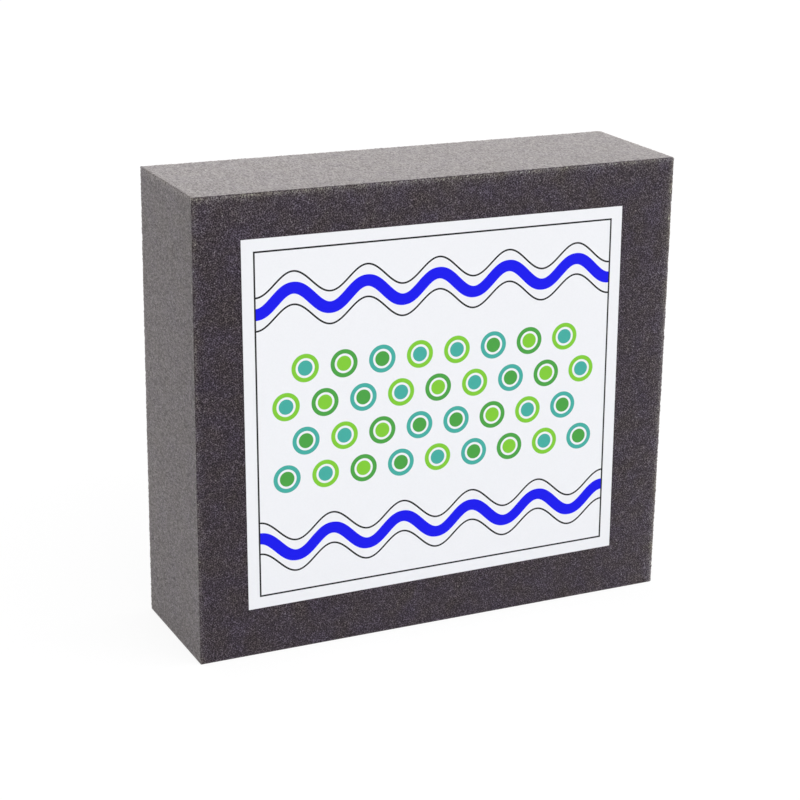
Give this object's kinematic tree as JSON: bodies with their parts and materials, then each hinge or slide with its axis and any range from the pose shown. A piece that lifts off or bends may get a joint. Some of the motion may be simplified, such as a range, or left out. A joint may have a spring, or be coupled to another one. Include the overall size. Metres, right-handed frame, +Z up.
{
  "type": "needle felting mat",
  "caption": "Upright rectangular slab of charcoal open-cell foam, soft for felting needles to sink into, with a printed paper label glued flat on its front.",
  "frame": {"origin": "middle of the flat base of the foam slab, which stands on a narrow face", "axes": "+X across the slab to the right seen from the label side, +Y through its thickness from the label to the back, +Z up"},
  "size_m": [0.2034, 0.0582, 0.1834],
  "materials": {
    "foam": "matte",
    "label_glue": "satin",
    "label_paper": "matte"
  },
  "bodies": {
    "root": {"foam_block": "foam", "label_adhesive": "label_glue", "label_sheet": "label_paper"}
  },
  "joints": []
}
